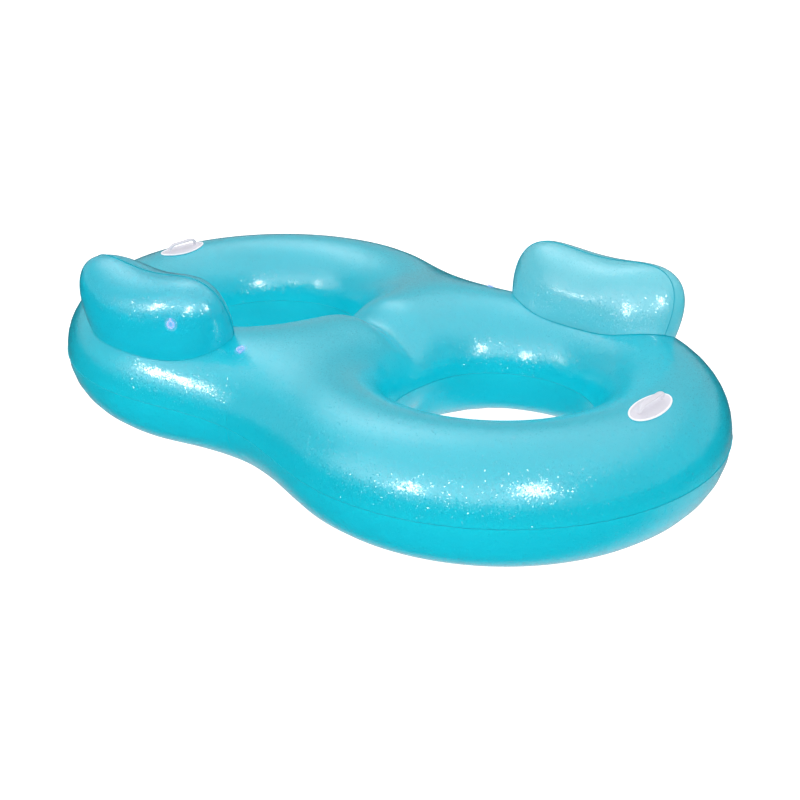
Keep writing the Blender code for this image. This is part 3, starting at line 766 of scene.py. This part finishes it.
def handle_pad(name, shift):
    """A flattened ball, bent over the film."""
    bpy.ops.object.select_all(action='DESELECT')
    bpy.ops.mesh.primitive_uv_sphere_add(segments=PAD_STEPS, ring_count=PAD_RINGS, radius=PAD_WIDTH / 2,
                                         location=(2 * RING_RADIUS + shift, 0.0, TUBE_TOP))
    pad = bpy.context.object
    pad.name = name
    half = PAD_RINGS // 2
    rim_rows = half // 3 + half // 4
    stand = handle_frame(shift)
    bead = set()
    for vert in pad.data.vertices:
        ball = vert.co / (PAD_WIDTH / 2)
        turn = math.atan2(ball.y, ball.x)
        ring = round(math.asin(max(-1.0, min(1.0, ball.z))) / (math.pi / PAD_RINGS))
        edge = Vector((PAD_WIDTH / 2 * math.cos(turn), PAD_LENGTH / 2 * math.sin(turn), 0.0))
        inwards = -Vector((math.cos(turn) / PAD_WIDTH, math.sin(turn) / PAD_LENGTH, 0.0)).normalized()
        inset, height = pad_section(ring, half)
        flat = edge + inwards * inset
        if abs(ring) > rim_rows:
            flat *= (half - abs(ring)) / (half - rim_rows)
        if ring > half // 3:
            foot = math.hypot(flat.x, abs(flat.y) - GRIP_SPAN / 2)
            boss = 0.5 + 0.5 * math.cos(math.pi * min(foot / PAD_BOSS, 1.0))
            height = max(height, PAD_WEB + (PAD_THICKNESS - PAD_WEB) * min(1.0, 2 * boss))
        if 0 <= ring <= half // 3 + 1:
            bead.add(vert.index)
        place = stand @ flat
        film = tube_frame(place.x, place.y, Vector((1.0, 0.0, 0.0)))
        vert.co = film @ Vector((0.0, 0.0, HANDLE_SEAT + height))
    pad.location = (0.0, 0.0, 0.0)
    pad.data.materials.append(handle_vinyl)
    pad.data.materials.append(rim_highlight_vinyl)
    # The rim's faces take the painted highlight.
    for face in pad.data.polygons:
        if all(index in bead for index in face.vertices):
            face.material_index = 1
    pad.data.shade_smooth()
    return pad


def grip_path():
    """The bar's middle line from foot to foot: along the pad, up, half its width and half its thickness."""
    half = GRIP_SPAN / 2
    path = []
    for step in range(10):
        turn = math.pi / 2 * step / 10
        size = GRIP_FOOT * math.sin(turn)
        path.append((half, -GRIP_FOOT * math.cos(turn), size, size))
    for step in range(18):
        turn = math.pi / 2 * step / 17
        share = (1 - math.cos(2 * turn)) / 2
        path.append((half - GRIP_BEND * (1 - math.cos(turn)), GRIP_RISE * math.sin(turn),
                     GRIP_FOOT + (GRIP_WIDTH / 2 - GRIP_FOOT) * share,
                     GRIP_FOOT + (GRIP_THICKNESS / 2 - GRIP_FOOT) * share))
    for step in range(1, 6):
        path.append(((half - GRIP_BEND) * (1 - step / 6), GRIP_RISE, GRIP_WIDTH / 2, GRIP_THICKNESS / 2))
    return path + [(0.0, *path[-1][1:])] + [(-y, *rest) for y, *rest in reversed(path)]


def handle_grip(name, shift):
    """A sheet of faces wrapped round the bar's path."""
    path = grip_path()
    bpy.ops.object.select_all(action='DESELECT')
    bpy.ops.mesh.primitive_grid_add(x_subdivisions=GRIP_STEPS, y_subdivisions=len(path) - 1, size=1.0,
                                    location=(2 * RING_RADIUS + shift, 0.0, TUBE_TOP + GRIP_RISE))
    grip = bpy.context.object
    grip.name = name
    lift = 2 * HANDLE_SEAT + PAD_THICKNESS + GRIP_FOOT
    stand = handle_frame(shift) @ Matrix.Translation((0.0, 0.0, lift))
    for vert in grip.data.vertices:
        turn = 2 * math.pi * round((vert.co.x + 0.5) * GRIP_STEPS) / GRIP_STEPS
        row = round((vert.co.y + 0.5) * (len(path) - 1))
        y, z, wide, thick = path[row]
        before, after = path[max(row - 1, 0)], path[min(row + 1, len(path) - 1)]
        along = Vector((0.0, after[0] - before[0], after[1] - before[1])).normalized()
        over = Vector((1.0, 0.0, 0.0)).cross(along)
        vert.co = stand @ (Vector((wide * math.cos(turn), y, z)) + over * thick * math.sin(turn))
    grip.location = (0.0, 0.0, 0.0)
    bpy.ops.object.mode_set(mode='EDIT')
    bpy.ops.mesh.select_all(action='SELECT')
    bpy.ops.mesh.remove_doubles(threshold=1e-6)
    bpy.ops.mesh.normals_make_consistent(inside=False)
    bpy.ops.object.mode_set(mode='OBJECT')
    grip.data.materials.append(handle_vinyl)
    grip.data.shade_smooth()
    return grip


def moulded_vinyl(name, colour):
    """Soft, milky vinyl with faint clouds and a satin skin."""
    moulded = finish(name, Roughness=0.32, IOR=1.45, Subsurface_Weight=0.5, Subsurface_Scale=0.002,
                     Subsurface_Radius=(1.0, 1.0, 1.0))
    place = moulded.add('TexCoord', {}, {}, 'Object')
    clouds(moulded, place, 90.0, 3.0, colour, 0.07)
    grain = moulded.add('TexNoise', {}, {'Vector': place, 'Scale': 700.0, 'Detail': 2.0}, 'Fac')
    moulded.wear('Normal', moulded.add('Bump', {}, {'Height': grain, 'Strength': 0.25, 'Distance': 0.0003}))
    return moulded.owner


handle_vinyl = moulded_vinyl("handle_vinyl", (0.53, 0.52, 0.57))
# The beaded rim is painted whiter than the plate: a painted highlight along its edge.
rim_highlight_vinyl = moulded_vinyl("rim_highlight_vinyl", (0.72, 0.71, 0.74))
for seat, shift, turn in (("right", RIGHT_HANDLE_SHIFT, 0.0), ("left", LEFT_HANDLE_SHIFT, math.pi)):
    for piece, node, body in ((handle_pad(seat + "_handle_plate", shift), "_handle_pad", "float"),
                              (handle_grip(seat + "_handle_bar", shift), "_handle_grip", seat + "_grip")):
        piece.data.transform(Matrix.Rotation(turn, 4, 'Z'))
        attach(piece, body)
        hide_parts(seat + node)

# Valves. Each is a collar of clear soft vinyl welded in the film, a stem that pushes into it, and a cap and
# a flap hinged on the stem. The walls inside the float are plain film.
clear = plain_vinyl("clear_collar", (0.45, 0.55, 0.80), 0.25, 150.0, IOR=1.45, Alpha=0.07)
cloudy = plain_vinyl("valve_vinyl", (0.40, 0.45, 0.85), 0.2, 150.0, IOR=1.45, Alpha=0.26)
for name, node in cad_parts.items():
    dress = vinyl
    if "valve" in name:
        dress = clear if "collar" in name else cloudy
    node.data.materials.clear()
    node.data.materials.append(dress)
